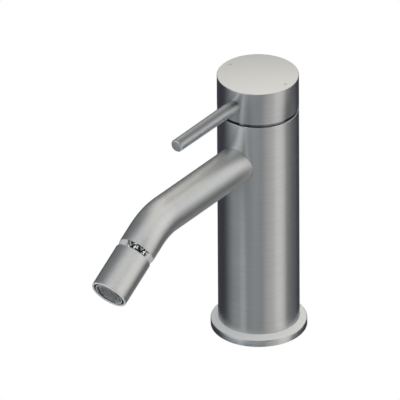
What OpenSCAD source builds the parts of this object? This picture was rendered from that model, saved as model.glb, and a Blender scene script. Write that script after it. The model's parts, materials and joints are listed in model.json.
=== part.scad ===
// Single-lever bidet mixer with a straight round column, a pin lever, a bent
// spout and a small nozzle on a ball joint.
// Frame: +Z up, deck plane at z = 0, origin on the column's axis.
// The spout and the lever point along -Y. Cold is on the +X side.

/* [Column] */
// Outside diameter of the column and of the handle cap
body_d = 45; // [44:0.5:48]
// Height of the column's top face above the deck
body_top = 136.7; // [130:0.1:160]
// Wall of the outer sleeve
shell_wall = 2; // [1.6:0.1:2.2]

/* [Base flange] */
// How far the base flange stands out beyond the column
flange_overhang = 4.15; // [3.5:0.05:8]
// Height of the flange's straight rim
flange_rim_h = 4; // [3:0.1:5]
// Rise of the flange's sloping top from the rim to the column
flange_rise = 1.8; // [0.5:0.1:3]
// Thickness of the ledge that the sleeve and the foot block stand on
flange_ledge_h = 1.5; // [1.2:0.1:2]
// Thickness of the rubber ring under the flange
base_seal_h = 1.2; // [1:0.1:1.4]

/* [Supply ports] */
// Distance between the hot and the cold port
port_spacing = 15; // [14:0.5:18]
// How far the ports lie in front of the axis
port_forward = 5; // [3:0.5:7]
// Drilled radius of the M10 x 1 hose threads
port_r = 4.5;
// Depth of the hose threads
port_depth = 9; // [8:0.5:11]
// Drilled radius of the M8 thread for the fixing stud
stud_r = 3.4;
// Depth of the stud thread
stud_depth = 14; // [10:1:16]
// How far the stud lies behind the axis
stud_back = 11; // [10:0.5:13]
// Height of the foot block
foot_h = 20; // [19:1:26]
// Outside diameter of a riser pipe
pipe_d = 8; // [7:0.5:8]
// Bore of a riser pipe
pipe_bore = 6; // [4:0.5:6]
// How deep a riser pipe goes into its socket
pipe_socket = 7; // [6:0.5:8]
// Thickness of an O-ring on a riser pipe
pipe_ring_d = 1.7; // [1.4:0.1:1.8]

/* [Valve core] */
// Solid height of the core under the cartridge
core_floor_h = 20; // [16:1:24]

/* [Cartridge] */
// Height of the port plate
port_plate_h = 4.6; // [4.2:0.1:5]
// Thickness of the fixed ceramic disc
fixed_disc_h = 3; // [2.5:0.1:3.5]
// Thickness of the sliding ceramic disc
moving_disc_h = 3.5; // [3:0.1:4]
// Height of the disc carrier
carrier_h = 4.8; // [4.6:0.1:5.4]
// Thickness of the housing's roof
housing_roof_h = 6; // [5:0.1:7]
// Wall of the housing
housing_wall = 1.6; // [1.4:0.1:1.8]
// Height of the clamping nut
nut_h = 4.8; // [4:0.1:5.5]

/* [Handle] */
// Height of the shadow groove under the cap
groove_h = 1.8; // [1.6:0.1:2.4]
// How far the chrome ring lies back in the groove
groove_depth = 0.55; // [0.4:0.05:1]
// Height of the handle cap
cap_h = 19.2; // [18.6:0.1:22]
// Side wall of the cap
cap_wall = 2.5; // [2:0.1:2.6]
// Top wall of the cap
cap_top_wall = 2.5; // [1.8:0.1:2.8]
// Lever diameter where it meets the cap
lever_root_d = 7.6; // [7:0.1:8.4]
// Lever diameter at its tip
lever_tip_d = 7.3; // [6:0.1:8]
// Distance from the column's axis to the lever's tip
lever_reach = 75.8; // [60:0.1:90]
// Rounding of the lever's tip
lever_tip_round = 0.9; // [0.4:0.1:2]
// Radius of the lever's threaded end and of the grub screw
lever_thread_r = 3; // [2.5:0.1:3]
// How far the handle lifts, in degrees
lift_max = 18; // [14:1:18]
// How far the handle turns to each side, in degrees
turn_max = 45; // [35:1:45]
// How far the tilt pin lies behind the axis
pivot_back = 6.5; // [6:0.1:6.6]
// Height of the tilt pin above the column's top
pivot_rise = 3; // [2.8:0.1:3.6]
// Radius of the tilt pin
pin_r = 1.75; // [1.5:0.05:1.9]
// Diameter of the hot and cold dots
mark_d = 1.9; // [1:0.1:3]
// Distance from the cap's axis to the dots
mark_radius = 18.6; // [14:0.1:19.5]

/* [Spout] */
// Outside diameter of the spout and of the nozzle
spout_d = 21.2; // [20.8:0.1:22]
// Wall of the spout tube
spout_wall = 1.5; // [1.3:0.1:1.6]
// Height of the spout's level run above the deck
spout_z = 110.4; // [108.5:0.1:112.5]
// Distance from the axis to the start of the bend
bend_start = 86.4; // [70:0.1:100]
// Radius of the bend on the tube's centre line
bend_r = 34; // [20:0.5:50]
// Angle of the bend, in degrees
bend_angle = 31; // [20:1:45]
// Straight length after the bend
spout_leg = 10.75; // [10:0.05:30]

/* [Nozzle] */
// Gap between the spout's end and the nozzle, where the joint shows
joint_gap = 3.6; // [3.5:0.1:4]
// Length of the nozzle
nozzle_len = 26.9; // [25:0.1:32]
// Rounding of the nozzle's lip
lip_round = 1.2; // [0.8:0.1:1.4]
// Radius of the ball inside the joint
ball_r = 7; // [6.8:0.1:7.1]
// Radius of the water passage through the ball
ball_bore_r = 2.6; // [2:0.1:2.8]
// Radius of the ball's neck
neck_r = 3.9; // [3.6:0.1:4]
// How far the nozzle tilts each way, in degrees
tilt_max = 15; // [8:1:15]
// Width of one opening in the outlet grid
grid_hole = 1; // [0.8:0.1:1.1]
// Distance between openings in the outlet grid
grid_pitch = 1.5; // [1.4:0.1:2]

/* [Hidden] */
$fn = 96;
// Clearance between pieces that are fixed to each other
fit = 0.05;
// Radial clearance of a running shaft
run = 0.08;
// Clearance between pieces that move past each other
free = 0.3;
// Small overlap that makes cuts run past a face
past = 1;

// Column
body_r = body_d / 2;
shell_bore_r = body_r - shell_wall;
core_r = shell_bore_r - fit;
flange_r = body_r + flange_overhang;
flange_top = flange_rim_h + flange_rise;
ledge_hole_r = core_r - 1.5;
seal_in = body_r + 0.4;
seal_out = flange_r - 1.2;

// Cartridge, 35 mm in a column of 45 mm
cartridge_d = body_d - 10;
cartridge_scale = cartridge_d / 35;
spindle_r = 12 * cartridge_scale;
disc_port_r = 2.2 * cartridge_scale;

// Cartridge stack, from the clamping nut down to the core's floor
nut_sink = 0.3;
shoulder_z = body_top - nut_sink - nut_h;
flange_roof_h = 1.3;
carrier_room = 0.4;
lap_gap = 0.05;
cavity_top = shoulder_z - housing_roof_h;
spindle_flange_top = cavity_top - 0.1;
recess_top = spindle_flange_top - flange_roof_h;
carrier_top = recess_top - carrier_room;
moving_top = carrier_top - carrier_h;
moving_z = moving_top - moving_disc_h;
fixed_top = moving_z - lap_gap;
fixed_z = fixed_top - fixed_disc_h;
floor_z = fixed_z - port_plate_h;
core_z = floor_z - core_floor_h;
chamber_r = cartridge_d / 2 + 0.25;
housing_r = cartridge_d / 2;
cavity_r = housing_r - housing_wall;
nut_r = chamber_r + 0.7;
housing_neck_r = spindle_r + 2.2;
fixed_disc_r = cavity_r - 1.1;
disc_port_offset = 4.95 * cartridge_scale;
outlet_r = 2.8 * cartridge_scale;
outlet_back = 3 * cartridge_scale;
pocket_r = 5 * cartridge_scale;
seal_groove = 0.9;
seal_w = 1;
housing_seal_z = shoulder_z - 3;
housing_seal_r = 0.75;

// Tilt mechanism
pivot_z = body_top + pivot_rise;
tip_r = 2;
tip_z = carrier_top - 1.05;
arm_len = pivot_z - tip_z;
arm_half = 1.8;
disc_travel = arm_len * sin(lift_max);
disc_rest_y = disc_travel / 2;
moving_disc_r = fixed_disc_r - disc_rest_y - 0.1;
hub_r = 3.6;
stem_w = 7;
slot_w = stem_w + 0.4;
spindle_flange_r = cavity_r - 0.3;
spindle_top = pivot_z + 3.3;
carrier_w = 16 * cartridge_scale;
carrier_len = 16 * cartridge_scale;
stop_half = 8;
stop_r = spindle_flange_r - 1.2;

// Handle
glide_z = body_top + free;
cap_z = body_top + groove_h;
cap_top = cap_z + cap_h;
cap_bore_r = body_r - cap_wall;
ceiling_z = cap_top - cap_top_wall;
lever_z = cap_z + cap_h / 2;
ring_r = body_r - groove_depth;
ring_bore_r = cap_bore_r - 1.8;
ring_spigot_h = 3.9;
boss_r = 8.6;
boss_z = pivot_z + 5.1;
post_len = 8;
post_top = ceiling_z - 2;
lever_boss_r = lever_thread_r + 1.6;
lever_stub = 8.3;
rod_root = body_r - 1;
grub_gap = 0.15;
grub_len = rod_root - lever_stub - post_len / 2 - fit - grub_gap;
edge = 0.35;
mark_depth = 0.4;

// Spout and joint
spout_r = spout_d / 2;
spout_bore_r = spout_r - spout_wall;
spout_root = chamber_r + 0.85;
bend_end_y = bend_start + bend_r * sin(bend_angle);
bend_end_z = spout_z - bend_r * (1 - cos(bend_angle));
joint_y = bend_end_y + spout_leg * cos(bend_angle);
joint_z = bend_end_z - spout_leg * sin(bend_angle);
dome_r = spout_r - 0.15;
dome_end = joint_gap + 1.2;
cup_r = dome_r + free;
cup_floor = joint_gap + 4;
socket_r = ball_r + run;
socket_hole_r = neck_r / cos(tilt_max) + dome_end * tan(tilt_max) + free;
socket_bore_r = ball_r + 0.6;
shank_r = spout_bore_r - fit;
shank_len = 9.5;
socket_ring_z = -1.9;
socket_ring_r = 0.38;
socket_lip = 0.5;
seat_z = -5;
seat_h = 3.5;
seat_hole_r = 4.8;
seal_pad_h = 1.2;
retainer_z = seat_z - seal_pad_h - fit;
retainer_h = 2.4;
nozzle_end = joint_gap + nozzle_len;
bulkhead_h = 3;
spigot_r = neck_r + 0.65;
plenum_end = cup_floor + bulkhead_h + 1.8;
nozzle_bore_r = spout_r - 1.7;
mouth_r = spout_r - lip_round;
mouth_depth = 2.6;
aerator_r = nozzle_bore_r - fit;
aerator_start = plenum_end + 1.6;
aerator_end = nozzle_end - 0.7;
insert_end = aerator_start + 5;
aerator_bore_r = aerator_r - 1.2;
seal_bore_r = aerator_bore_r - 0.4;
grid_rim = 0.9;
grid_h = 1.2;
grid_z = aerator_end - grid_h - 0.4;

steel = [0.62, 0.62, 0.61];
pale_steel = [0.80, 0.80, 0.78];
chrome = [0.88, 0.89, 0.90];
brass = [0.80, 0.66, 0.36];
copper = [0.78, 0.48, 0.33];
rubber = [0.12, 0.12, 0.12];
white_plastic = [0.90, 0.90, 0.88];
blue_plastic = [0.30, 0.45, 0.62];
ceramic = [0.93, 0.92, 0.88];
dark_plastic = [0.28, 0.29, 0.31];

// A flat ring between two heights
module ring(outer_r, inner_r, z0, z1) {
    difference() {
        translate([0, 0, z0]) cylinder(r = outer_r, h = z1 - z0);
        translate([0, 0, z0 - past]) cylinder(r = inner_r, h = z1 - z0 + 2 * past);
    }
}

// A round-section ring
module o_ring(mid_r, section_r, z) {
    translate([0, 0, z]) rotate_extrude() translate([mid_r, 0]) circle(r = section_r);
}

// Places its children on the hot side, the cold side or both
module at_ports(sides = [-1, 1]) {
    for (side = sides) translate([side * port_spacing / 2, -port_forward, 0]) children();
}

// Turns +Z to the spout's outlet axis, with z = 0 on the spout's end face
module at_outlet() {
    translate([0, -joint_y, joint_z]) rotate([90 + bend_angle, 0, 0]) children();
}

// The space under the handle that the column's top face sweeps when the handle lifts
module lift_sweep() {
    reach = 60;
    translate([0, pivot_back, pivot_z])
        rotate([lift_max, 0, 0])
            translate([-reach, -reach, glide_z - pivot_z - reach])
                cube([2 * reach, 2 * reach, reach]);
}

// Column and base

module base_flange() {
    color(pale_steel) difference() {
        rotate_extrude() polygon([
            [ledge_hole_r + fit, 0],
            [flange_r - edge / 2, 0],
            [flange_r, edge / 2],
            [flange_r, flange_rim_h - edge],
            [flange_r - edge, flange_rim_h],
            [body_r + fit, flange_top],
            [body_r + fit, flange_ledge_h],
            [ledge_hole_r + fit, flange_ledge_h]
        ]);
        ring(seal_out, seal_in, -past, base_seal_h);
    }
}

module base_seal() {
    color(rubber) ring(seal_out - fit, seal_in + fit, 0, base_seal_h - fit);
}

module foot_block() {
    socket_z = foot_h - pipe_socket;
    color(brass) difference() {
        union() {
            cylinder(r = ledge_hole_r, h = flange_ledge_h + past);
            translate([0, 0, flange_ledge_h]) cylinder(r = core_r, h = foot_h - flange_ledge_h);
        }
        at_ports() {
            translate([0, 0, -past]) cylinder(r = port_r, h = port_depth + past);
            cylinder(r = pipe_bore / 2, h = foot_h);
            translate([0, 0, socket_z]) cylinder(r = pipe_d / 2 + fit, h = pipe_socket + past);
            pipe_groove(socket_z + pipe_socket / 2);
        }
        translate([0, stud_back, -past]) cylinder(r = stud_r, h = stud_depth + past);
    }
}

// Groove for an O-ring round a riser pipe
module pipe_groove(z) {
    translate([0, 0, z - pipe_ring_d / 2 - 0.1])
        cylinder(r = pipe_d / 2 + pipe_ring_d + 0.1, h = pipe_ring_d + 0.2);
}

module riser_pipe(side) {
    z0 = foot_h - pipe_socket + fit;
    z1 = core_z + pipe_socket - fit;
    color(copper) at_ports([side]) ring(pipe_d / 2, pipe_bore / 2, z0, z1);
}

module hot_pipe() {
    riser_pipe(-1);
}

module cold_pipe() {
    riser_pipe(1);
}

module pipe_seals() {
    mid_r = pipe_d / 2 + fit + pipe_ring_d / 2;
    color(rubber) at_ports() for (z = [foot_h - pipe_socket / 2, core_z + pipe_socket / 2])
        o_ring(mid_r, pipe_ring_d / 2 - 0.02, z);
}

module body_shell() {
    color(steel) difference() {
        rotate_extrude() polygon([
            [shell_bore_r, flange_ledge_h],
            [body_r, flange_ledge_h],
            [body_r, body_top - edge / 2],
            [body_r - edge / 2, body_top],
            [shell_bore_r, body_top]
        ]);
        translate([0, -body_r / 2, spout_z]) rotate([90, 0, 0]) cylinder(r = spout_r + fit, h = body_d);
    }
}

module valve_core() {
    inlet_drop = floor_z - core_z - pipe_socket;
    inlet_shift = port_spacing / 2 - disc_port_offset;
    inlet_tilt = atan2(inlet_shift, inlet_drop);
    inlet_r = disc_port_r + 0.2;
    outlet_start = chamber_r - 4;
    outlet_hole_r = spout_bore_r - 1;
    color(brass) difference() {
        translate([0, 0, core_z]) cylinder(r = core_r, h = body_top - core_z);
        translate([0, 0, floor_z]) cylinder(r = chamber_r, h = body_top);
        translate([0, 0, shoulder_z - fit]) cylinder(r = nut_r + fit, h = body_top);
        translate([0, -spout_root, spout_z]) rotate([90, 0, 0])
            cylinder(r = spout_r + fit, h = body_d);
        translate([0, -outlet_start, spout_z]) rotate([90, 0, 0]) cylinder(r = outlet_hole_r, h = body_d);
        at_ports() {
            translate([0, 0, core_z - past]) cylinder(r = pipe_d / 2 + fit, h = pipe_socket + past);
            pipe_groove(core_z + pipe_socket / 2);
        }
        for (side = [-1, 1])
            translate([side * port_spacing / 2, -port_forward, core_z + pipe_socket])
                rotate([0, -side * inlet_tilt, 0])
                    translate([0, 0, -past / 2]) cylinder(r = inlet_r, h = inlet_drop + 2 * past);
    }
}

// Spout

module spout_solid(r, root, tip_cut) {
    level = bend_start - root;
    translate([0, -root, spout_z]) rotate([90, 0, 0]) cylinder(r = r, h = level);
    translate([0, -bend_start, spout_z - bend_r]) rotate([0, 90, 0]) rotate([0, 0, 180])
        rotate_extrude(angle = bend_angle) translate([bend_r, 0]) circle(r = r);
    at_outlet() translate([0, 0, -spout_leg]) cylinder(r = r, h = spout_leg + tip_cut);
}

module spout_tube() {
    color(steel) difference() {
        spout_solid(spout_r, spout_root + fit, 0);
        spout_solid(spout_bore_r, spout_root - past, past);
    }
}

// Cartridge

module at_disc_ports() {
    for (side = [-1, 1]) translate([side * disc_port_offset, -disc_port_offset, 0]) children();
}

module port_plate() {
    channel_w = 5;
    channel_h = 1.7;
    channel_z = floor_z + 1.3;
    color(white_plastic) difference() {
        translate([0, 0, floor_z]) cylinder(r = housing_r - 0.1, h = port_plate_h);
        at_disc_ports() {
            translate([0, 0, floor_z - past]) cylinder(r = disc_port_r, h = port_plate_h + 2 * past);
            translate([0, 0, floor_z - past]) cylinder(r = disc_port_r + seal_w, h = seal_groove + past);
            translate([0, 0, fixed_z - seal_groove]) cylinder(r = disc_port_r + seal_w, h = seal_groove + past);
        }
        translate([0, outlet_back, channel_z]) cylinder(r = outlet_r, h = port_plate_h);
        translate([0, outlet_back, fixed_z - seal_groove])
            cylinder(r = outlet_r + seal_w, h = seal_groove + past);
        translate([-channel_w / 2, -housing_r - past, channel_z])
            cube([channel_w, housing_r + past + outlet_back, channel_h]);
    }
}

module plate_seals() {
    color(rubber) at_disc_ports()
        ring(disc_port_r + seal_w - fit, disc_port_r + fit, floor_z, floor_z + seal_groove - fit);
}

module disc_seals() {
    z0 = fixed_z - seal_groove + fit;
    color(rubber) {
        at_disc_ports() ring(disc_port_r + seal_w - fit, disc_port_r + fit, z0, fixed_z);
        translate([0, outlet_back, 0]) ring(outlet_r + seal_w - fit, outlet_r + fit, z0, fixed_z);
    }
}

module fixed_disc() {
    color(ceramic) difference() {
        translate([0, 0, fixed_z]) cylinder(r = fixed_disc_r, h = fixed_disc_h);
        at_disc_ports() translate([0, 0, fixed_z - past])
            cylinder(r = disc_port_r, h = fixed_disc_h + 2 * past);
        translate([0, outlet_back, fixed_z - past]) cylinder(r = outlet_r, h = fixed_disc_h + 2 * past);
    }
}

// Two lugs under the carrier sit in notches of the disc's rim
module carrier_lugs(gap) {
    lug_len = 3;
    lug_w = 4;
    lug_h = 1.5;
    for (side = [-1, 1])
        translate([side * (moving_disc_r - lug_len / 2) - lug_len / 2 - gap, disc_rest_y - lug_w / 2 - gap,
                   moving_top - lug_h - gap])
            cube([lug_len + 2 * gap, lug_w + 2 * gap, lug_h + past + gap]);
}

module moving_disc() {
    pocket_h = 2;
    color(ceramic) difference() {
        translate([0, disc_rest_y, moving_z]) cylinder(r = moving_disc_r, h = moving_disc_h);
        translate([0, disc_rest_y, moving_z - past]) cylinder(r = pocket_r, h = pocket_h + past);
        carrier_lugs(fit);
    }
}

module disc_carrier() {
    pocket_half = tip_r + 0.12;
    plate_w = 7;
    plate_h = 0.35;
    color(blue_plastic) difference() {
        union() {
            translate([-carrier_w / 2, disc_rest_y - carrier_len / 2, moving_top])
                cube([carrier_w, carrier_len, carrier_h]);
            intersection() {
                union() {
                    translate([-moving_disc_r, disc_rest_y - plate_w / 2, moving_top])
                        cube([2 * moving_disc_r, plate_w, plate_h]);
                    intersection() {
                        carrier_lugs(0);
                        translate([0, 0, moving_top - 5]) cylinder(r = body_r, h = 5 + plate_h);
                    }
                }
                translate([0, disc_rest_y, moving_z]) cylinder(r = moving_disc_r, h = carrier_h + moving_disc_h);
            }
        }
        translate([-stem_w / 2 - 0.15, pivot_back - pocket_half, tip_z - tip_r - 0.3])
            cube([stem_w + 0.3, 2 * pocket_half, carrier_h + past]);
    }
}

module cartridge_housing() {
    color(white_plastic) difference() {
        union() {
            translate([0, 0, fixed_z]) cylinder(r = housing_r, h = shoulder_z - fixed_z);
            translate([0, 0, shoulder_z - past])
                cylinder(r = housing_neck_r, h = body_top - 0.2 - shoulder_z + past);
        }
        difference() {
            translate([0, 0, fixed_z - past]) cylinder(r = cavity_r, h = cavity_top - fixed_z + past);
            turn_stop();
        }
        translate([0, 0, cavity_top - past]) cylinder(r = spindle_r + run, h = body_top);
        housing_groove();
    }
}

// Lug in the housing that stops the spindle's turn
module turn_stop() {
    stop_h = 3;
    sector(stop_half, stop_r + free, cavity_r + past, recess_top - stop_h, cavity_top + past);
}

// A ring sector about +Y, between two radii and two heights
module sector(half_angle, inner_r, outer_r, z0, z1) {
    side_x = 2 * outer_r * sin(half_angle / 2);
    side_y = 2 * outer_r * cos(half_angle / 2);
    far_x = 2 * outer_r * sin(half_angle);
    far_y = 2 * outer_r * cos(half_angle);
    translate([0, 0, z0]) linear_extrude(z1 - z0) intersection() {
        difference() {
            circle(r = outer_r);
            circle(r = inner_r);
        }
        polygon([[0, 0], [far_x, far_y], [side_x, side_y],
                 [0, 2 * outer_r], [-side_x, side_y], [-far_x, far_y]]);
    }
}

module housing_groove() {
    ring(housing_r + past, chamber_r - 2 * housing_seal_r - 0.08,
         housing_seal_z - housing_seal_r - 0.1, housing_seal_z + housing_seal_r + 0.1);
}

module housing_seal() {
    color(rubber) o_ring(chamber_r - housing_seal_r - 0.03, housing_seal_r, housing_seal_z);
}

module clamping_nut() {
    slot = 3;
    slot_h = 1.8;
    color(brass) difference() {
        ring(nut_r, housing_neck_r + 0.25, shoulder_z, shoulder_z + nut_h);
        for (a = [0, 90]) rotate([0, 0, a])
            translate([-body_r, -slot / 2, shoulder_z + nut_h - slot_h])
                cube([body_d, slot, slot_h + past]);
    }
}

module spindle() {
    arm_front = pivot_back - disc_travel - tip_r - free;
    arm_back = pivot_back + tip_r + 0.35;
    recess_w = carrier_w + 0.3;
    recess_len = carrier_len + disc_travel + 2 * free;
    flange_z = moving_top + 0.75;
    color(dark_plastic) difference() {
        union() {
            difference() {
                translate([0, 0, flange_z]) cylinder(r = spindle_flange_r, h = spindle_flange_top - flange_z);
                sector(turn_max + stop_half + 1, stop_r, cavity_r, flange_z - past, spindle_flange_top + past);
            }
            translate([0, 0, flange_z]) cylinder(r = spindle_r, h = spindle_top - flange_z);
        }
        translate([-recess_w / 2, -recess_len / 2, flange_z - past])
            cube([recess_w, recess_len, recess_top - flange_z + past]);
        translate([-slot_w / 2, arm_front, flange_z]) cube([slot_w, arm_back - arm_front, spindle_top]);
        translate([-slot_w / 2, -spindle_r - past, pivot_z - hub_r - free])
            cube([slot_w, 2 * (spindle_r + past), spindle_top]);
        translate([-spindle_r, pivot_back, pivot_z]) rotate([0, 90, 0])
            cylinder(r = pin_r + 0.02, h = 2 * spindle_r);
    }
}

module tilt_pin() {
    half = sqrt(pow(spindle_r, 2) - pow(pivot_back + pin_r, 2)) - 0.2;
    color(chrome) translate([-half, pivot_back, pivot_z]) rotate([0, 90, 0]) cylinder(r = pin_r, h = 2 * half);
}

module stem() {
    post_front = -pivot_back - post_len / 2;
    post_back = -pivot_back + post_len / 2;
    bridge_z = 1.6;
    bridge_back = 2.5;
    bridge_top = boss_z - pivot_z - 0.2;
    color(brass) translate([0, pivot_back, pivot_z]) difference() {
        rotate([90, 0, 90]) translate([0, 0, -stem_w / 2]) linear_extrude(stem_w) {
            translate([-arm_half, -arm_len]) square([2 * arm_half, arm_len]);
            translate([0, -arm_len]) circle(r = tip_r);
            circle(r = hub_r);
            polygon([[post_front, bridge_z], [bridge_back, bridge_z], [bridge_back, bridge_top],
                     [post_back, bridge_top], [post_back, post_top - pivot_z],
                     [post_front, post_top - pivot_z]]);
        }
        translate([-stem_w, 0, 0]) rotate([0, 90, 0]) cylinder(r = pin_r + fit, h = 2 * stem_w);
    }
}

// Handle

module cap() {
    color(steel) difference() {
        union() {
            difference() {
                rotate_extrude() polygon([
                    [0, cap_z],
                    [body_r - edge / 2, cap_z],
                    [body_r, cap_z + edge / 2],
                    [body_r, cap_top - edge],
                    [body_r - edge, cap_top],
                    [0, cap_top]
                ]);
                translate([0, 0, cap_z - past]) cylinder(r = cap_bore_r, h = ceiling_z - cap_z + past);
            }
            translate([0, 0, boss_z]) cylinder(r = boss_r, h = ceiling_z - boss_z + past);
            translate([0, -boss_r / 2, lever_z]) rotate([90, 0, 0])
                cylinder(r = lever_boss_r, h = body_r - boss_r / 2 - cap_wall / 2);
        }
        translate([-stem_w / 2 - fit, -post_len / 2 - fit, boss_z - past])
            cube([stem_w + 2 * fit, post_len + 2 * fit, post_top - boss_z + past + 0.2]);
        translate([0, -post_len / 2, lever_z]) rotate([90, 0, 0])
            cylinder(r = lever_thread_r, h = body_r);
        for (side = [-1, 1]) translate([side * mark_radius, 0, cap_top - mark_depth])
            cylinder(r = mark_d / 2 + 0.02, h = past);
        lift_sweep();
    }
}

module index_dots() {
    color(dark_plastic) for (side = [-1, 1]) translate([side * mark_radius, 0, cap_top - mark_depth])
        cylinder(r = mark_d / 2, h = mark_depth);
}

module groove_ring() {
    color(chrome) difference() {
        union() {
            ring(ring_r, ring_bore_r, glide_z, cap_z);
            ring(cap_bore_r - fit, ring_bore_r, cap_z - past / 2, cap_z + ring_spigot_h);
        }
        lift_sweep();
    }
}

// Points of a rounded outer corner at radius r and height z
function rounded_end(r, z, round) = [
    for (a = [0:10:90]) [r - round + round * cos(a), z - round + round * sin(a)]
];

module lever_rod() {
    len = lever_reach - rod_root;
    color(steel) {
        difference() {
            translate([0, -rod_root, lever_z]) rotate([90, 0, 0]) rotate_extrude()
                polygon(concat(
                    [[0, 0], [lever_root_d / 2, 0]],
                    rounded_end(lever_tip_d / 2, len, lever_tip_round),
                    [[0, len]]));
            translate([0, 0, cap_z]) cylinder(r = body_r + fit, h = cap_h);
        }
        translate([0, -rod_root + lever_stub, lever_z]) rotate([90, 0, 0])
            cylinder(r = lever_thread_r - fit, h = lever_stub + 3 * past);
    }
}

module grub_screw() {
    key_r = 1.5;
    key_depth = 3;
    color(dark_plastic) difference() {
        translate([0, -post_len / 2 - fit, lever_z]) rotate([90, 0, 0])
            cylinder(r = lever_thread_r - fit, h = grub_len);
        translate([0, -post_len / 2 - grub_len + key_depth, lever_z]) rotate([90, 0, 0])
            cylinder(r = key_r, h = key_depth + past, $fn = 6);
    }
}

// Ball joint, drawn along the outlet axis with the spout's end face at 0

module swivel_socket() {
    color(chrome) at_outlet() difference() {
        union() {
            translate([0, 0, -shank_len]) cylinder(r = shank_r, h = shank_len + past);
            intersection() {
                sphere(r = dome_r);
                cylinder(r = body_r, h = dome_end);
            }
        }
        sphere(r = socket_r);
        translate([0, 0, -shank_len - past]) cylinder(r = socket_bore_r, h = shank_len + past - socket_lip);
        cylinder(r = socket_hole_r, h = dome_end + past);
        ring(spout_r, shank_r - 2 * socket_ring_r - 0.04, socket_ring_z - socket_ring_r - 0.1,
             socket_ring_z + socket_ring_r + 0.1);
    }
}

module socket_seal() {
    color(rubber) at_outlet() o_ring(spout_bore_r - 0.04 - socket_ring_r, socket_ring_r, socket_ring_z);
}

module ball_seat() {
    color(white_plastic) at_outlet() difference() {
        ring(socket_bore_r - run, seat_hole_r, seat_z, seat_z + seat_h);
        sphere(r = socket_r);
    }
}

module ball_seal() {
    color(rubber) at_outlet() ring(socket_bore_r - fit, seat_hole_r + 0.4, seat_z - seal_pad_h, seat_z - fit);
}

module ball_retainer() {
    slot = 2;
    slot_h = 1;
    color(brass) at_outlet() difference() {
        ring(socket_bore_r - fit, seat_hole_r - 0.2, retainer_z - retainer_h, retainer_z);
        translate([-body_r, -slot / 2, retainer_z - retainer_h - past]) cube([body_d, slot, slot_h + past]);
    }
}

module ball_stem() {
    flat_z = 4;
    color(brass) at_outlet() difference() {
        union() {
            intersection() {
                sphere(r = ball_r);
                translate([0, 0, -flat_z]) cylinder(r = body_r, h = body_d);
            }
            cylinder(r = neck_r, h = cup_floor + past);
            translate([0, 0, cup_floor + fit]) cylinder(r = spigot_r, h = bulkhead_h - fit);
        }
        translate([0, 0, -body_r]) cylinder(r = ball_bore_r, h = 2 * body_d);
    }
}

// Nozzle

module nozzle_shell() {
    color(steel) at_outlet() difference() {
        rotate_extrude() polygon(concat(
            [[0, joint_gap], [spout_r - 0.1, joint_gap], [spout_r, joint_gap + 0.1]],
            rounded_end(spout_r, nozzle_end, lip_round),
            [[0, nozzle_end]]));
        intersection() {
            sphere(r = cup_r);
            cylinder(r = body_r, h = cup_floor);
        }
        cylinder(r = spigot_r + fit, h = nozzle_end);
        translate([0, 0, cup_floor + bulkhead_h]) cylinder(r = seal_bore_r, h = nozzle_len);
        translate([0, 0, plenum_end]) cylinder(r = nozzle_bore_r, h = nozzle_len);
        translate([0, 0, nozzle_end - mouth_depth]) cylinder(r = mouth_r, h = nozzle_len);
    }
}

module aerator_seal() {
    color(rubber) at_outlet() ring(nozzle_bore_r - fit, seal_bore_r, plenum_end + fit, aerator_start - fit);
}

module flow_insert() {
    hole_ring = 4.5;
    hole_r = 0.8;
    disc_h = 2;
    color(white_plastic) at_outlet() difference() {
        union() {
            translate([0, 0, aerator_start + fit]) cylinder(r = aerator_bore_r - fit, h = disc_h);
            ring(aerator_bore_r - fit, aerator_bore_r - 1, aerator_start + 1, insert_end);
        }
        for (a = [0:45:315]) rotate([0, 0, a])
            translate([hole_ring, 0, aerator_start - past]) cylinder(r = hole_r, h = disc_h + 3 * past);
    }
}

// A threaded ring with two wide key slots. The insert and the grid rest on its inner step
module aerator_housing() {
    key_w = 11;
    key_h = 1.4;
    key_turn = 57;
    step_z = insert_end + fit;
    color(pale_steel) at_outlet() difference() {
        union() {
            ring(aerator_r, aerator_bore_r, aerator_start, aerator_end);
            ring(aerator_r - 0.3, aerator_bore_r - 0.7, step_z, grid_z - fit);
        }
        rotate([0, 0, key_turn])
            translate([-body_r, -key_w / 2, aerator_end - key_h]) cube([body_d, key_w, key_h + past]);
    }
}

module outlet_grid() {
    count = floor(aerator_bore_r / grid_pitch);
    limit = aerator_bore_r - grid_rim;
    color(dark_plastic) at_outlet() translate([0, 0, grid_z]) linear_extrude(grid_h) difference() {
        circle(r = aerator_bore_r - fit);
        for (i = [-count:count]) for (j = [-count:count])
            if (norm([abs(i) * grid_pitch + grid_hole / 2, abs(j) * grid_pitch + grid_hole / 2]) < limit)
                translate([i * grid_pitch, j * grid_pitch]) square(grid_hole, center = true);
    }
}

base_flange();
base_seal();
foot_block();
hot_pipe();
cold_pipe();
pipe_seals();
body_shell();
valve_core();
spout_tube();
port_plate();
plate_seals();
disc_seals();
fixed_disc();
moving_disc();
disc_carrier();
cartridge_housing();
housing_seal();
clamping_nut();
spindle();
tilt_pin();
stem();
cap();
groove_ring();
index_dots();
lever_rod();
grub_screw();
swivel_socket();
socket_seal();
ball_seal();
ball_seat();
ball_retainer();
ball_stem();
nozzle_shell();
aerator_seal();
flow_insert();
aerator_housing();
outlet_grid();
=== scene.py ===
# %% [markdown]
# # A brushed steel bidet mixer
# This script dresses a finished CAD part for a studio picture. The CAD gives the
# frame: where each piece is and how it moves. The larger visible pieces are made
# again here as smooth meshes with rounded edges, and the hidden and small pieces
# keep their CAD shape and only get better materials.
# Sizes are in metres. The spout and the lever point along -Y, and +Z is up.

import json
import math

import bmesh
import bpy
from mathutils import Matrix, Vector


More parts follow.
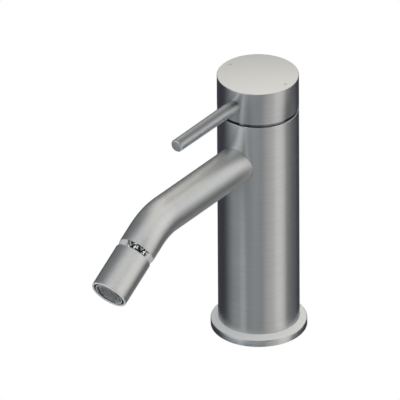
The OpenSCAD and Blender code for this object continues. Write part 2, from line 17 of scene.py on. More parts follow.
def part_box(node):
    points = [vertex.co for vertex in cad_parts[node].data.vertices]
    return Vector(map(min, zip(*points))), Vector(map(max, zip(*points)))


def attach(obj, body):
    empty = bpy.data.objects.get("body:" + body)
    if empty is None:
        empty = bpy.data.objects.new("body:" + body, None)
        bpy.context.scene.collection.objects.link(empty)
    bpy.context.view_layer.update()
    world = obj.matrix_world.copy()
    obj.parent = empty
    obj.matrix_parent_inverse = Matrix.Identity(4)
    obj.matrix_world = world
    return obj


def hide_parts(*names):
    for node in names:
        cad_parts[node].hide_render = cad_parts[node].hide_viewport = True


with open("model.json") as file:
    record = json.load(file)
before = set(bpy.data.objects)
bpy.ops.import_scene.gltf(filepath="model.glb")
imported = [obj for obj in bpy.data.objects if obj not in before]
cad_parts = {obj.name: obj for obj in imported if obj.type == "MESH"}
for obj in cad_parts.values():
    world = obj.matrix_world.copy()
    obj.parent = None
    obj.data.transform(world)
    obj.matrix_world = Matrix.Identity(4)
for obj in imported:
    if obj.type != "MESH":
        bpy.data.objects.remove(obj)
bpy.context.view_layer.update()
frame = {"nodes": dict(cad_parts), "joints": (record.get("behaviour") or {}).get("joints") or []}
mm = 0.001

# %% [markdown]
# ## Reading sizes from the CAD
# A mixer is built up on one axis, so most sizes are radii and heights. They are
# read from the boxes of the CAD pieces, which keeps this script right if a size
# changes there.

# %% Measure the CAD pieces


def radius_of(node):
    low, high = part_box(node)
    return (high[0] - low[0]) / 2


def heights_of(node):
    low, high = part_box(node)
    return low[2], high[2]


body_r = radius_of("body_shell")
body_foot, body_top = heights_of("body_shell")
flange_r = radius_of("base_flange")
flange_top = heights_of("base_flange")[1]
cap_r = radius_of("cap")
cap_foot, cap_top = heights_of("cap")
ring_r = radius_of("groove_ring")
ring_foot = heights_of("groove_ring")[0]
rod_r = radius_of("lever_rod")
rod_low, rod_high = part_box("lever_rod")
rod_z = (rod_low[2] + rod_high[2]) / 2
rod_reach = -rod_low[1]
spout_r = radius_of("spout_tube")
spout_z = heights_of("spout_tube")[1] - spout_r
print("column radius %.4f, spout radius %.4f at height %.4f" % (body_r, spout_r, spout_z))

# %% Measure the joints
joints = {j["name"]: j for j in frame["joints"]}
joint_at = Vector(joints["nozzle_spin"]["pos_m"])
outlet = Vector(joints["nozzle_spin"]["axis"]).normalized()
pivot = Vector(joints["lever_lift"]["pos_m"])
lift_limit = math.radians(joints["lever_lift"]["range_deg"][1])
bend = math.asin(-outlet.z)
leg_up = Vector((0, -math.sin(bend), math.cos(bend)))
print("ball joint at", [round(v, 4) for v in joint_at], "bend", round(math.degrees(bend), 1))

# %% [markdown]
# ## Turned pieces
# Nearly every piece of a mixer comes off a lathe. Here too, a piece starts as
# one profile, and bmesh's spin turns it round the axis. Each profile point is
# (distance from the axis, height). Rounded corners are short arcs in the
# profile, so no bevel is needed after the spin.

# %% Profile helpers


def corner(r, z, size, start, steps=6):
    """Points of a rounded corner with its tip at (r, z). start is the angle in
    degrees at which the arc begins: 0 is outward and 90 is up."""
    inward = {0: (-1, -1), 90: (1, -1), 180: (1, 1), 270: (-1, 1)}[start]
    cx, cz = r + inward[0] * size, z + inward[1] * size
    arc = [math.radians(start + 90 * i / steps) for i in range(steps + 1)]
    return [(cx + size * math.cos(a), cz + size * math.sin(a)) for a in arc]


sharp_angle = math.radians(35)
tiny = 1e-7


def new_object(name, bm):
    """Turns a bmesh into an object with outward faces and smooth shading."""
    bmesh.ops.remove_doubles(bm, verts=bm.verts, dist=tiny)
    bmesh.ops.recalc_face_normals(bm, faces=bm.faces)
    mesh = bpy.data.meshes.new(name)
    bm.to_mesh(mesh)
    bm.free()
    obj = bpy.data.objects.new(name, mesh)
    bpy.context.scene.collection.objects.link(obj)
    mesh.shade_smooth()
    mesh.set_sharp_from_angle(angle=sharp_angle)
    return obj


# %% [markdown]
# ## A map for the brush marks
# Brushing leaves scratches that run round a tube. To draw them, each mesh gets a
# UV map in metres: u runs round the axis and v along the profile. The map is
# worked out from where each point lies, so it suits any turned piece.

# %% Brush map and spin


def brush_map(bm, unroll, around):
    """Writes the UV map. unroll gives a point's angle round the piece, or None
    on its axis, and its length along the piece."""
    uv = bm.loops.layers.uv.new("brush")
    for face in bm.faces:
        middle = unroll(face.calc_center_median())[0] or 0.0
        for loop in face.loops:
            angle, length = unroll(loop.vert.co)
            turn = 0.0 if angle is None else (angle - middle + math.pi) % math.tau - math.pi
            loop[uv].uv = ((middle + turn) / math.tau * around, length)


def unroll_turned(p):
    r = math.hypot(p.x, p.y)
    return (math.atan2(p.y, p.x) if r > tiny else None), p.z - r


def turned(name, profile, place=Matrix.Identity(4), around=0.1, turns=128):
    """Spins a closed profile round Z and then puts it in place."""
    bm = bmesh.new()
    points = [bm.verts.new((r, 0, z)) for r, z in profile]
    pairs = zip(points, points[1:] + points[:1])
    outline = [bm.edges.new(pair) for pair in pairs if max(v.co.x for v in pair) > 0]
    turn = {"cent": (0, 0, 0), "axis": (0, 0, 1), "angle": math.tau, "steps": turns}
    bmesh.ops.spin(bm, geom=points + outline, use_merge=True, **turn)
    bmesh.ops.remove_doubles(bm, verts=bm.verts, dist=tiny)
    brush_map(bm, unroll_turned, around)
    bm.transform(place)
    return new_object(name, bm)


# %% [markdown]
# ## Shader maths as plain expressions
# A socket is wrapped in a small class, so that node maths reads like Python:
# `a * 2 + b` adds the two math nodes and links them.

# %% Node helper


class Node:
    """A socket of a node tree. With no socket, it only makes nodes."""

    def __init__(self, tree, socket):
        self.tree, self.socket = tree, socket

    def make(self, kind, settings=None, values=None):
        """Adds any node. values maps an input's name or number to a value."""
        node = self.tree.nodes.new(kind)
        for key, value in (settings or {}).items():
            setattr(node, key, value)
        for key, value in (values or {}).items():
            if isinstance(value, Node):
                self.tree.links.new(value.socket, node.inputs[key])
            else:
                node.inputs[key].default_value = value
        return Node(self.tree, node.outputs[0])

    def out(self, index):
        """Another output of the same node."""
        return Node(self.tree, self.socket.node.outputs[index])

    def feed(self, target):
        self.tree.links.new(self.socket, target)

    def maths(self, operation, *values):
        return self.make("ShaderNodeMath", {"operation": operation}, dict(enumerate(values)))

    def __add__(self, other):
        return self.maths("ADD", self, other)

    def __sub__(self, other):
        return self.maths("SUBTRACT", self, other)

    def __rsub__(self, other):
        return self.maths("SUBTRACT", other, self)

    def __mul__(self, other):
        return self.maths("MULTIPLY", self, other)

    def __truediv__(self, other):
        return self.maths("DIVIDE", self, other)

    def __pow__(self, other):
        return self.maths("POWER", self, other)

    __radd__ = __add__
    __rmul__ = __mul__


# %% Material helpers


def new_material(name):
    """A material, its Principled shader's sockets, and a Node to build with."""
    material = bpy.data.materials.new(name)
    material.use_nodes = True
    shader = material.node_tree.nodes["Principled BSDF"]
    return material, shader.inputs, Node(material.node_tree, None)


def smooth_step(node, value, start, end):
    """0 before start and 1 after end, with a smooth change between."""
    limits = {"Value": value, "From Min": start, "From Max": end}
    return node.make("ShaderNodeMapRange", {"interpolation_type": "SMOOTHSTEP"}, limits)


def colour_of(node, channels):
    return node.make("ShaderNodeCombineColor", values=dict(enumerate(channels)))


# %% [markdown]
# ## Brushed steel
# The scratches are noise, stretched along u and packed tightly along v. They
# change the roughness and the colour a little, and a faint bump breaks up the
# highlights. An anisotropic shader spreads a reflection across the scratches,
# which gives the column its long soft stripes.

# %% Brushed finish


def streaks(node, uv, fine, detail):
    """Noise that runs round the piece, with `fine` streaks per metre."""
    along = 60.0
    place = node.make("ShaderNodeCombineXYZ", values={0: uv.out(0) * along, 1: uv.out(1) * fine})
    noise = {"Vector": place, "Scale": 1.0, "Detail": detail, "Roughness": 0.6}
    return node.make("ShaderNodeTexNoise", {"noise_dimensions": "2D"}, noise)


def brushed(name, tone, rough, spread=0.0, contrast=0.1, bump=0.05, metal=1.0, painted_shade_side=None):
    """A steel finish. spread is the anisotropy. The last argument paints shade into
    the colour on one side of a thin pin, standing in for a dark reflection: how
    much, the middle of that side as u, and u's length all round."""
    material, inputs, node = new_material(name)
    uv = node.make("ShaderNodeSeparateXYZ", values={0: node.make("ShaderNodeUVMap", {"uv_map": "brush"})})
    fine = streaks(node, uv, 9000.0, 3.0) - 0.5
    broad = streaks(node, uv, 1300.0, 2.0) - 0.5
    shade = fine * contrast + broad * (contrast * 2) + 1.0
    # Painted shade: one side of the pin is darkened in the colour.
    if painted_shade_side:
        amount, middle, whole = painted_shade_side
        side = node.maths("COSINE", (uv - middle) * (math.tau / whole))
        shade = shade * (1.0 - node.maths("MAXIMUM", side, 0.0) ** 5.0 * amount)
    colour_of(node, [shade * t for t in tone]).feed(inputs["Base Color"])
    (fine * 0.16 + broad * 0.06 + rough).feed(inputs["Roughness"])
    grain = {"Strength": bump, "Distance": 0.1 * mm, "Height": fine}
    node.make("ShaderNodeBump", values=grain).feed(inputs["Normal"])
    inputs["Metallic"].default_value = metal
    inputs["Anisotropic"].default_value = spread
    inputs["Anisotropic Rotation"].default_value = 0.25
    return material


# %% [markdown]
# One finish isn't enough. Flat faces get finishes of their own, with fainter
# streaks. The cap's top also gets a much paler tone, which paints in the light
# it catches from above, and the pin's end a slightly paler one. The flange's
# cone and the nozzle's lip get a pale copy with a Metallic value of 0, which is
# lit evenly like paint; its pale tone paints in the bright light they show.

# %% Steel finishes, some with painted light and shade
pin_round = 0.03
# The lever's colour gets painted shade on the pin's upper side, for a dark reflection.
lever_painted_shade = (0.7, pin_round * 61 / 360, pin_round)
steel = brushed("steel_body", (0.60, 0.60, 0.59), 0.33, 0.85)
steel_cap = brushed("steel_cap", (0.57, 0.57, 0.56), 0.33, 0.85)
steel_tube = brushed("steel_spout", (0.68, 0.675, 0.66), 0.38, contrast=0.07, bump=0.5)
steel_lever = brushed("steel_lever", (0.72, 0.735, 0.74), 0.36, bump=0.5, painted_shade_side=lever_painted_shade)
steel_end = brushed("steel_end", (0.80, 0.80, 0.79), 0.42, contrast=0.05, bump=0.1)
steel_rim = brushed("steel_flange", (0.62, 0.62, 0.61), 0.30, 0.85)
steel_top_painted_light = brushed("steel_top_painted_light", (0.88, 0.875, 0.855), 0.42, contrast=0.03, bump=0.02)
steel_cone_painted_light = brushed("steel_cone_painted_light", (0.95, 0.945, 0.92), 0.75, contrast=0.03, bump=0.02, metal=0.0)
print("steel finishes", len(bpy.data.materials))

# %% [markdown]
# ## Polished and matte finishes
# Polished metal keeps a low roughness with a faint smear, as a wiped surface
# has. Rubber, plastic and ceramic get a fine grain in colour and roughness.

# %% Other finishes


def polished(name, tone, rough):
    material, inputs, node = new_material(name)
    place = node.make("ShaderNodeTexCoord").out(3)
    smear = node.make("ShaderNodeTexNoise", values={"Vector": place, "Scale": 220.0, "Detail": 2.0})
    (smear * 0.04 + rough).feed(inputs["Roughness"])
    colour_of(node, [smear * 0.03 + (t - 0.015) for t in tone]).feed(inputs["Base Color"])
    inputs["Metallic"].default_value = 1.0
    return material


def matte(name, tone, rough, speckle=0.04, scale=900.0):
    material, inputs, node = new_material(name)
    place = node.make("ShaderNodeTexCoord").out(3)
    noise = {"Vector": place, "Scale": scale, "Detail": 3.0}
    grain = node.make("ShaderNodeTexNoise", values=noise) - 0.5
    colour_of(node, [grain * speckle + t for t in tone]).feed(inputs["Base Color"])
    (grain * 0.15 + rough).feed(inputs["Roughness"])
    return material


# %% Dressing helpers


def dress(obj, material, body, node):
    """Gives a piece its material and its place in the frame."""
    obj.data.materials.clear()
    obj.data.materials.append(material)
    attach(obj, body)
    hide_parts(node)
    spans = zip(*[v.co for v in obj.data.vertices])
    size = [round((max(span) - min(span)) / mm, 1) for span in spans]
    print(obj.name, len(obj.data.polygons), "faces,", size, "mm")


def face_off(obj, material, chosen):
    """Gives the faces that `chosen` picks a second material."""
    obj.data.materials.append(material)
    for face in obj.data.polygons:
        if chosen(face):
            face.material_index = 1


# %% [markdown]
# ## Column
# The sleeve is a plain steel tube. Its top edge is turned to a small radius,
# which catches a thin line of light above the groove. The spout passes through
# a round hole in it, which a Boolean modifier cuts. The modifier's result is
# then made the mesh, because the cutter isn't part of the object.

# %% Body sleeve
along_y = Matrix.Rotation(math.radians(90), 4, "X")
body_wall = 2 * mm
profile = [(body_r - body_wall, body_foot), (body_r, body_foot)]
profile += corner(body_r, body_top, 0.35 * mm, 0)
profile += corner(body_r - body_wall, body_top, 0.25 * mm, 90)
sleeve = turned("sleeve", profile)


def cut_by(obj, cutter):
    """Takes one closed mesh away from another."""
    change = obj.modifiers.new("cut", "BOOLEAN")
    change.object, change.solver, change.operation = cutter, "EXACT", "DIFFERENCE"
    graph = bpy.context.evaluated_depsgraph_get()
    mesh = bpy.data.meshes.new_from_object(obj.evaluated_get(graph))
    obj.modifiers.clear()
    obj.data = mesh
    bpy.data.objects.remove(cutter)
    mesh.shade_smooth()
    mesh.set_sharp_from_angle(angle=sharp_angle)


hole_r = spout_r + 0.05 * mm
hole_reach = 40 * mm
at_spout = Matrix.Translation((0, 0, spout_z)) @ along_y
cutter = [(0.0, 0.0), (hole_r, 0.0), (hole_r, hole_reach), (0.0, hole_reach)]
cut_by(sleeve, turned("hole", cutter, at_spout, turns=96))
dress(sleeve, steel, "column", "body_shell")

# %% [markdown]
# ## Base flange
# The flange has a short upright rim and a shallow cone that meets the sleeve.
# Its seat reaches a little way under the sleeve.

# %% Flange
rim_h = 4.0 * mm
flange_bore = body_r + 0.05 * mm
seat_bore = flange_bore - 3.5 * mm
foot_edge = 0.2 * mm
profile = [(seat_bore, 0.0), (flange_r - foot_edge, 0.0), (flange_r, foot_edge)]
profile += [(flange_r, rim_h - 0.5 * mm), (flange_r - 0.08 * mm, rim_h - 0.2 * mm)]
profile += [(flange_r - 0.3 * mm, rim_h)]
profile += [(flange_bore, flange_top), (flange_bore, body_foot), (seat_bore, body_foot)]
flange = turned("flange", profile)
dress(flange, steel_rim, "column", "base_flange")
# The cone's pale, matt finish paints in the bright light on it.
face_off(flange, steel_cone_painted_light, lambda face: face.normal.z > 0.8)

# %% [markdown]
# ## Handle cap
# The cap is a cup with a small radius at its top edge. Its lower edge is cut
# along a slope at the back, so that it clears the column when the handle lifts.
# The slope is the plane of the column's top, turned back about the tilt pin.

# %% Slope under the cap
gap = ring_foot - body_top
slope_normal = Vector((0, math.sin(lift_limit), -math.cos(lift_limit)))
over_body = Vector((0, 0, body_top + gap - pivot.z))
slope_point = pivot + Matrix.Rotation(lift_limit, 3, "X") @ over_body


def trim(obj):
    """Cuts off what lies below the sloping plane and closes the cut."""
    bm = bmesh.new()
    bm.from_mesh(obj.data)
    everything = bm.verts[:] + bm.edges[:] + bm.faces[:]
    plane = {"plane_co": slope_point, "plane_no": slope_normal}
    bmesh.ops.bisect_plane(bm, geom=everything, dist=tiny, clear_outer=True, **plane)
    open_edges = [e for e in bm.edges if e.is_boundary]
    bmesh.ops.triangle_fill(bm, edges=open_edges, use_beauty=True, use_dissolve=False)
    bmesh.ops.recalc_face_normals(bm, faces=bm.faces)
    bm.to_mesh(obj.data)
    bm.free()
    obj.data.set_sharp_from_angle(angle=sharp_angle)


# %% [markdown]
# The two dots of enamel on the cap are the CAD's own. The cap's top lies a hair
# lower than theirs, because two faces in one plane would flicker.

# %% Cap
cap_wall = 2.5 * mm
cup_r = cap_r - cap_wall
crown = cap_top - 0.02 * mm
ceiling = cap_top - cap_wall
profile = [(cup_r, cap_foot)] + corner(cap_r, cap_foot, 0.2 * mm, 270, 3)
profile += corner(cap_r, crown, 0.35 * mm, 0)
profile += [(0.0, crown), (0.0, ceiling), (cup_r, ceiling)]
cap_shell = turned("cap_shell", profile)
trim(cap_shell)
dress(cap_shell, steel_cap, "handle", "cap")
# The top's paler finish paints in the light it catches from above.
face_off(cap_shell, steel_top_painted_light, lambda face: face.center.z > ceiling and face.normal.z > 0.99)

# %% [markdown]
# A ring of darker polished metal fills the groove under the cap. It is pressed
# into the cap, so it moves with the handle.

# %% Groove ring
ring_chrome = polished("ring_chrome", (0.22, 0.22, 0.25), 0.06)
spigot_r = cup_r - 0.05 * mm
spigot_top = cap_foot + 3.9 * mm
ring_bore = spigot_r - 1.75 * mm
ring_edge = 0.15 * mm
profile = [(ring_bore, ring_foot), (ring_r - ring_edge, ring_foot), (ring_r, ring_foot + ring_edge)]
profile += [(ring_r, cap_foot), (spigot_r, cap_foot), (spigot_r, spigot_top), (ring_bore, spigot_top)]
ring = turned("chrome_ring", profile)
trim(ring)
dress(ring, ring_chrome, "handle", "groove_ring")

# %% [markdown]
# ## Lever
# A turned pin, very slightly thinner at its tip, with a rounded edge. It starts
# inside the cap, where its thread holds it.

# %% Lever
tip_r = 3.65 * mm
tip_round = 0.9 * mm
rod_start = 20 * mm
rod_length = rod_reach - rod_start
profile = [(0.0, 0.0), (rod_r, 0.0), (tip_r, rod_length - tip_round)]
profile += corner(tip_r, rod_length, tip_round, 0)[1:] + [(0.0, rod_length)]
at_rod = Matrix.Translation((0, -rod_start, rod_z)) @ along_y
lever = turned("lever", profile, at_rod, pin_round, 64)
dress(lever, steel_lever, "handle", "lever_rod")
face_off(lever, steel_end, lambda face: face.normal.y < -0.9)

# %% [markdown]
# ## Spout
# The spout is one tube: a level run, a bend and a short straight leg. A circle
# is pushed along the run, spun round the bend's centre and pushed on, which is
# what a tube bender does. The bore is made the same way, and bridges close the
# two ends. The outlet's outer edge gets a small bevel.

# %% Spout's centre line
leg = 10.75 * mm
bend_r = 34 * mm
bend_end = joint_at - outlet * leg
bend_y = bend_end.y + bend_r * math.sin(bend)
bend_centre = Vector((0, bend_y, spout_z - bend_r))
root_y = -18.7 * mm
run = root_y - bend_y
print("level run %.1f mm, bend %.1f mm, leg %.1f mm" % (run / mm, bend_r * bend / mm, leg / mm))


def unroll_spout(p):
    """Angle round the spout's centre line, and length along it."""
    if p.y > bend_y:
        return math.atan2(p.x, p.z - spout_z), root_y - p.y
    past = (p - bend_end).dot(outlet)
    if past > 0:
        return math.atan2(p.x, (p - bend_end).dot(leg_up)), run + bend_r * bend + past
    arm = p - bend_centre
    height = math.hypot(arm.y, arm.z) - bend_r
    return math.atan2(p.x, height), run + bend_r * math.atan2(-arm.y, arm.z)


# %% Spout tube


def pushed(bm, edges, step):
    """Extrudes a ring of edges by one step and returns the new ring."""
    made = bmesh.ops.extrude_edge_only(bm, edges=edges)["geom"]
    verts = {g for g in made if isinstance(g, bmesh.types.BMVert)}
    bmesh.ops.translate(bm, verts=list(verts), vec=step)
    return [g for g in made if isinstance(g, bmesh.types.BMEdge) and verts.issuperset(g.verts)]


def swept(bm, radius):
    """Makes one skin of the tube and returns its first and last ring."""
    at_root = Matrix.Translation((0, root_y, spout_z)) @ along_y
    circle = bmesh.ops.create_circle(bm, segments=96, radius=radius, matrix=at_root)["verts"]
    first = list({e for v in circle for e in v.link_edges})
    ring = pushed(bm, first, Vector((0, -run, 0)))
    geom = ring + list({v for e in ring for v in e.verts})
    turn = {"cent": bend_centre, "axis": (1, 0, 0), "angle": bend, "steps": 36}
    spun = bmesh.ops.spin(bm, geom=geom, **turn)["geom_last"]
    ring = [g for g in spun if isinstance(g, bmesh.types.BMEdge)]
    return first, pushed(bm, ring, outlet * leg)


spout_bore = spout_r - 1.5 * mm
bm = bmesh.new()
skins = [swept(bm, spout_r), swept(bm, spout_bore)]
outlet_edge = skins[0][1]
for outer_ring, inner_ring in zip(*skins):
    bmesh.ops.bridge_loops(bm, edges=outer_ring + inner_ring)
rounding = {"offset": 0.2 * mm, "segments": 3, "profile": 0.5, "affect": "EDGES", "material": -1}
bmesh.ops.bevel(bm, geom=outlet_edge, **rounding)
tube_round = 0.066
brush_map(bm, unroll_spout, tube_round)
spout = new_object("spout", bm)
dress(spout, steel_tube, "column", "spout_tube")

# %% [markdown]
# ## Ball joint
# A polished socket closes the spout's end. Only a narrow band of its dome shows
# above the nozzle, which hangs on the ball inside. The dome narrows towards the
# nozzle, so that the nozzle's cup can tilt over it.

# %% Socket
turn_out = outlet.to_track_quat("Z", "X").to_matrix().to_4x4()
at_outlet = Matrix.Translation(joint_at) @ turn_out
dome_r = spout_r - 0.15 * mm
dome_end = 4.8 * mm
ball_room = 7.08 * mm
mouth_r = 5.6 * mm
shank_r = spout_bore - 0.05 * mm
shank_bore = 7.6 * mm
shank_end = -9.5 * mm
dome = [(10.45, 0.0), (10.45, 0.15), (10.38, 0.5), (10.3, 1.0), (10.22, 1.7)]
dome += [(10.1, 2.5), (9.95, 3.2), (9.75, 3.9), (9.3, 4.8)]
ball_low = math.acos(mouth_r / ball_room)
hollow = [ball_low * (1 - i / 16) for i in range(17)]
profile = [(shank_r, shank_end), (shank_r, 0.0)] + [(r * mm, z * mm) for r, z in dome]
profile += [(mouth_r, dome_end)] + [(ball_room * math.cos(a), ball_room * math.sin(a)) for a in hollow]
profile += [(shank_bore, 0.0), (shank_bore, shank_end)]
socket = turned("socket", profile, at_outlet)

# %% [markdown]
# Polished metal that mirrors a room would make the dome nearly white at its
# sides, and dark at its front with sharp bright specks. The band is too narrow
# to get that from the room alone, so it is painted into the colour: a mask by
# direction mixes a painted white reflection at the sides with a painted dark
# reflection at the front, and noise paints the specks as painted glints.

# %% Dome's painted reflection and glints
dome_chrome, inputs, node = new_material("dome_chrome")
place = node.make("ShaderNodeTexCoord").out(3)
arm = node.make("ShaderNodeVectorMath", {"operation": "SUBTRACT"}, {0: place, 1: joint_at})
front_side = math.radians(32)
front = Vector((1, 0, 0)) * math.sin(front_side) + leg_up * math.cos(front_side)
facing = node.make("ShaderNodeVectorMath", {"operation": "DOT_PRODUCT"}, {0: arm, 1: front}).out(1)
in_front = smooth_step(node, facing / dome_r, 0.72, 0.84)
painted_glint_noise = node.make("ShaderNodeTexNoise", values={"Vector": place, "Scale": 950.0, "Detail": 1.0})
bright = smooth_step(node, painted_glint_noise, 0.52, 0.6)
# Painted reflection: near white at the sides, dark at the front with painted glints.
tone = (1.0 - in_front) * 0.9 + in_front * (bright * 0.85 + 0.03)
colour_of(node, [tone] * 3).feed(inputs["Base Color"])
(in_front * 0.9 + 0.1).feed(inputs["Metallic"])
inputs["Roughness"].default_value = 0.1
dress(socket, dome_chrome, "column", "swivel_socket")

# %% [markdown]
# ## Nozzle
# The nozzle is a short sleeve with a hollow cup at its start. Its lip is
# rounded outside and has a chamfer inside, so a thin bright line runs all the
# way round the mouth. The lip's pale, matt finish paints in part of that line.

# %% Nozzle shell
nozzle_start, nozzle_end = 3.6 * mm, 30.5 * mm
cup_ball, cup_floor = 10.75 * mm, 7.6 * mm
lip = 1.2 * mm
lip_r = spout_r - lip
lip_foot = nozzle_end - 0.8 * mm
mouth_floor = nozzle_end - 2.6 * mm
bore_r = spout_r - 1.7 * mm
bore_floor = 12.4 * mm
seal_r, seal_floor = 7.2 * mm, 10.6 * mm
stem_r = 4.6 * mm
start_edge = 0.12 * mm
first, last = math.asin(nozzle_start / cup_ball), math.asin(cup_floor / cup_ball)
cup = [last + (first - last) * i / 12 for i in range(13)]
profile = [(cup_ball * math.cos(a), cup_ball * math.sin(a)) for a in cup]
profile += [(spout_r - start_edge, nozzle_start), (spout_r, nozzle_start + start_edge)]
profile += corner(spout_r, nozzle_end, lip, 0, 10)[:7]
profile += [(lip_r, lip_foot), (lip_r, mouth_floor), (bore_r, mouth_floor), (bore_r, bore_floor)]
profile += [(seal_r, bore_floor), (seal_r, seal_floor), (stem_r, seal_floor), (stem_r, cup_floor)]
nozzle = turned("nozzle", profile, at_outlet, tube_round)
dress(nozzle, steel_tube, "nozzle", "nozzle_shell")
# Painted light: the lip takes the pale, matt finish.
face_off(nozzle, steel_cone_painted_light, lambda face: (face.center - joint_at).dot(outlet) > lip_foot)

# %% [markdown]
# ## Hidden and small pieces
# These keep the CAD's mesh. Each gets a material that suits what it is made of.
# The aerator's housing has two tones: its face is pale near the grid, and the
# ring outside that is darker. That ring also gets painted shade, which makes it
# nearly black at the sides of the mouth. The grid's edge gets painted shade at
# the same two places, beside the slots for a fitter's key.

# %% Aerator colours and painted shade


def from_outlet(node):
    """How far a point is from the outlet's axis, and from the spout's plane."""
    place = node.make("ShaderNodeTexCoord").out(3)
    arm = node.make("ShaderNodeVectorMath", {"operation": "SUBTRACT"}, {0: place, 1: joint_at})
    off_axis = node.make("ShaderNodeVectorMath", {"operation": "CROSS_PRODUCT"}, {0: arm, 1: outlet})
    distance = node.make("ShaderNodeVectorMath", {"operation": "LENGTH"}, {0: off_axis}).out(1)
    return distance, node.maths("ABSOLUTE", node.make("ShaderNodeSeparateXYZ", values={0: arm}))


two_tone_and_painted_shade, inputs, node = new_material("moulded_ring")
distance, across = from_outlet(node)
outside = smooth_step(node, distance, 8.2 * mm, 8.35 * mm)
at_side = smooth_step(node, across, 5.0 * mm, 7.0 * mm)
# Painted shade: the outer ring turns nearly black at the sides of the mouth.
grey = 0.72 - outside * (at_side * 0.35 + 0.35)
colour_of(node, [grey] * 3).feed(inputs["Base Color"])
inputs["Roughness"].default_value = 0.6
inputs["Specular IOR Level"].default_value = 0.1

mesh_steel, inputs, node = new_material("mesh_steel")
distance, across = from_outlet(node)
near_edge = smooth_step(node, distance, 6.2 * mm, 6.5 * mm)
at_side = smooth_step(node, across, 5.2 * mm, 5.8 * mm)
place = node.make("ShaderNodeTexCoord").out(3)
grain = node.make("ShaderNodeTexNoise", values={"Vector": place, "Scale": 1500.0, "Detail": 3.0}) - 0.5
# Painted shade: the grid's edge is darkened at the sides of the mouth.
grey = (grain * 0.95 + 0.31) * (1.0 - near_edge * at_side * 0.95)
colour_of(node, [grey] * 3).feed(inputs["Base Color"])
inputs["Roughness"].default_value = 0.5
inputs["Specular IOR Level"].default_value = 0.25

# %% Materials for the CAD pieces
kept = {
    polished("brass_turned", (0.78, 0.60, 0.30), 0.25): [
        "foot_block", "valve_core", "clamping_nut", "stem", "ball_retainer", "ball_stem"],
    polished("copper_tube", (0.80, 0.45, 0.30), 0.22): ["hot_pipe", "cold_pipe"],
    polished("ground_steel", (0.70, 0.71, 0.72), 0.12): ["tilt_pin"],
    mesh_steel: ["outlet_grid"],
    two_tone_and_painted_shade: ["aerator_housing"],
    matte("rubber", (0.03, 0.03, 0.03), 0.7): [
        "base_seal", "pipe_seals", "plate_seals", "disc_seals",
        "housing_seal", "socket_seal", "ball_seal", "aerator_seal"],
    matte("white_plastic", (0.82, 0.82, 0.80), 0.45): [
        "port_plate", "cartridge_housing", "ball_seat", "flow_insert"],
    matte("blue_plastic", (0.20, 0.34, 0.52), 0.45): ["disc_carrier"],
    matte("grey_plastic", (0.14, 0.145, 0.155), 0.5): ["spindle"],
    matte("dot_enamel", (0.64, 0.635, 0.62), 0.4): ["index_dots"],
    matte("ceramic", (0.86, 0.85, 0.81), 0.2): ["fixed_disc", "moving_disc"],
    matte("black_oxide", (0.03, 0.03, 0.032), 0.4): ["grub_screw"],
}
for material, names in kept.items():
    for name in names:
        piece = frame["nodes"][name]
        piece.data.materials.clear()
        piece.data.materials.append(material)
print("CAD pieces with new materials", sum(len(names) for names in kept.values()))

# %% [markdown]
# ## Camera
# A product picture is taken from far away with a long lens, so that the
# column's sides stay parallel. The angle, the roll and the scale were measured
# on the photo's round edges. They place the camera, so that the model's origin
# lands where the column's axis meets the table.

# %% Camera
view_side, view_up, roll = math.radians(36.2), math.radians(30.3), math.radians(0.37)
pixels_per_m, frame_px = 1815.5, 400
origin_px = (258.96, 322.5)
lens, sensor = 1650.0, 36.0
level = math.cos(view_up)
toward_camera = Vector((math.sin(view_side) * level, -math.cos(view_side) * level, math.sin(view_up)))
turn = toward_camera.to_track_quat("Z", "Y") @ Matrix.Rotation(-roll, 3, "Z").to_quaternion()
right, up = turn @ Vector((1, 0, 0)), turn @ Vector((0, 1, 0))
shift_x = (frame_px / 2 - origin_px[0]) / pixels_per_m
shift_y = (origin_px[1] - frame_px / 2) / pixels_per_m
camera_data = bpy.data.cameras.new("camera")
camera_data.lens, camera_data.sensor_width = lens, sensor
camera_data.clip_start, camera_data.clip_end = 1.0, 50.0
camera = bpy.data.objects.new("camera", camera_data)
bpy.context.scene.collection.objects.link(camera)
bpy.context.scene.camera = camera
camera.rotation_euler = turn.to_euler()
distance = frame_px / pixels_per_m * lens / sensor
camera.location = right * shift_x + up * shift_y + toward_camera * distance
print("camera %.1f m away" % distance)

# %% [markdown]
# ## Floor
# The picture has a pure white ground. The camera sees the floor as plain white,
# and reflections look through it to the room, so the steel keeps its dark
# edges. For all other light it is an ordinary grey floor.

# %% Floor
white_paint = (1.0, 1.0, 1.0, 1.0)
floor_half = 3.0
bm = bmesh.new()
bmesh.ops.create_grid(bm, x_segments=1, y_segments=1, size=floor_half)
floor_mesh = bpy.data.meshes.new("floor")
bm.to_mesh(floor_mesh)
bm.free()
floor = bpy.data.objects.new("floor", floor_mesh)
floor.location.z = -0.2 * mm
bpy.context.scene.collection.objects.link(floor)
floor_paint, inputs, node = new_material("floor_paint")
inputs["Base Color"].default_value = (0.6, 0.6, 0.6, 1)
inputs["Roughness"].default_value = 0.9
light_path = node.make("ShaderNodeLightPath")
grey_paint = Node(node.tree, node.tree.nodes["Principled BSDF"].outputs[0])
clear = node.make("ShaderNodeBsdfTransparent")
unseen = node.make("ShaderNodeMixShader", values={0: light_path.out(3), 1: grey_paint, 2: clear})
plain = node.make("ShaderNodeEmission", values={"Color": white_paint})
seen = node.make("ShaderNodeMixShader", values={0: light_path, 1: unseen, 2: plain})
seen.feed(node.tree.nodes["Material Output"].inputs["Surface"])
floor_mesh.materials.append(floor_paint)

# %% [markdown]
# ## Studio
# Round metal shows the room more than its own colour. The mixer stands in a
# dark room with soft boxes round it. They are painted on the room itself: each
# is a patch of the sky round the mixer, given by how far round it is from the
# camera (to the right is positive) and by its lowest and highest edge, all in
# degrees. Where two overlap, the brighter one counts.

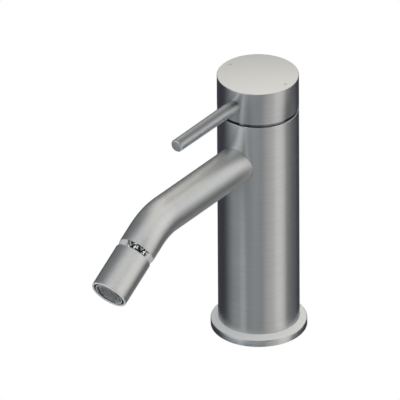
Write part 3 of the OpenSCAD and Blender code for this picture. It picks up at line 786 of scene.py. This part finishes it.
# %% Soft boxes as patches of sky
world = bpy.data.worlds.new("room")
bpy.context.scene.world = world
world.use_nodes = True
node = Node(world.node_tree, None)
direction = node.make("ShaderNodeSeparateXYZ", values={0: node.make("ShaderNodeTexCoord")})
x, y, z = [direction.out(i) for i in range(3)]
flat = node.maths("MAXIMUM", (x * x + y * y) ** 0.5, 0.001)


def soft_box(side, half_width, edge, low, high, fade, glow, tint=(1.0, 1.0, 1.0)):
    """The light of one soft box as three channels. edge and fade soften its
    sides and its ends."""
    a = view_side + math.radians(side)
    along = (x * math.sin(a) - y * math.cos(a)) / flat
    ends = [math.sin(math.radians(v)) for v in (low - fade, low + fade, high - fade, high + fade)]
    patch = 1.0
    if half_width + edge < 180:
        rim, core = math.radians(half_width + edge), math.radians(max(0.0, half_width - edge))
        patch = smooth_step(node, along, math.cos(rim), math.cos(core))
    if low > -90:
        patch = smooth_step(node, z, ends[0], ends[1]) * patch
    if high < 90:
        patch = (1.0 - smooth_step(node, z, ends[2], ends[3])) * patch
    return [patch * (glow * t) for t in tint]


# %% [markdown]
# The bright stripe on the column comes from the tall boxes on the right, and
# its even grey from the broad one on the left. The boxes behind and above light
# the flat top, the flange's cone and the upper side of the spout. A flag, which
# is a black card, keeps the front of the room dim.

# %% The room
cool, warm = (0.93, 0.99, 1.04), (1.01, 1.0, 0.97)
room_dark = (0.045, 0.046, 0.062)
left_fill = [
    soft_box(-34, 44, 31, -14, 60, 12, 1.23, cool),
    soft_box(-46, 6, 6, -55, 5, 12, 0.36, cool),
    soft_box(-145, 32, 20, -8, 50, 10, 0.2, cool),
    soft_box(-118, 36, 16, 42, 62, 8, 0.16, cool),
]
low_fill = [
    soft_box(2, 22, 20, -75, -20, 10, 0.26, cool),
    soft_box(0, 180, 0, -90, -56, 6, 0.8, cool),
    soft_box(-120, 50, 20, -90, -46, 5, 0.8, cool),
    soft_box(138, 20, 10, -52, -36, 5, 0.35, cool),
]
right_key = [
    soft_box(61, 17, 11, -75, 70, 12, 0.86),
    soft_box(41, 22, 20, -75, 70, 12, 0.6),
    soft_box(62, 16, 10, 5, 58, 8, 1.1),
    soft_box(85, 8, 8, -13, 45, 10, 1.0, warm),
    soft_box(102, 14, 8, -1, 45, 10, 1.0, cool),
]
top_and_back = [
    soft_box(163, 42, 12, 24, 90, 10, 0.93, warm),
    soft_box(146, 14, 10, 36, 58, 8, 1.2, warm),
    soft_box(122, 26, 14, 26, 60, 8, 0.95, warm),
    soft_box(65, 95, 25, 48, 90, 12, 0.84, warm),
    soft_box(0, 180, 0, 62, 90, 8, 0.62, cool),
]
flag = soft_box(0, 28, 8, 2, 44, 6, 0.95)[0]
glow = []
for channel, dark in enumerate(room_dark):
    light = dark
    for box in left_fill + low_fill + right_key + top_and_back:
        light = node.maths("MAXIMUM", light, box[channel])
    glow.append((1.0 - flag) * light)

# %% Light and background
studio = node.make("ShaderNodeBackground", values={"Color": colour_of(node, glow), "Strength": 1.0})
plain = node.make("ShaderNodeBackground", values={"Color": white_paint, "Strength": 1.0})
by_camera = node.make("ShaderNodeLightPath")
background = node.make("ShaderNodeMixShader", values={0: by_camera, 1: studio, 2: plain})
background.feed(world.node_tree.nodes["World Output"].inputs["Surface"])
bpy.context.scene.view_settings.view_transform = "Standard"
print("soft boxes", len(left_fill + low_fill + right_key + top_and_back))
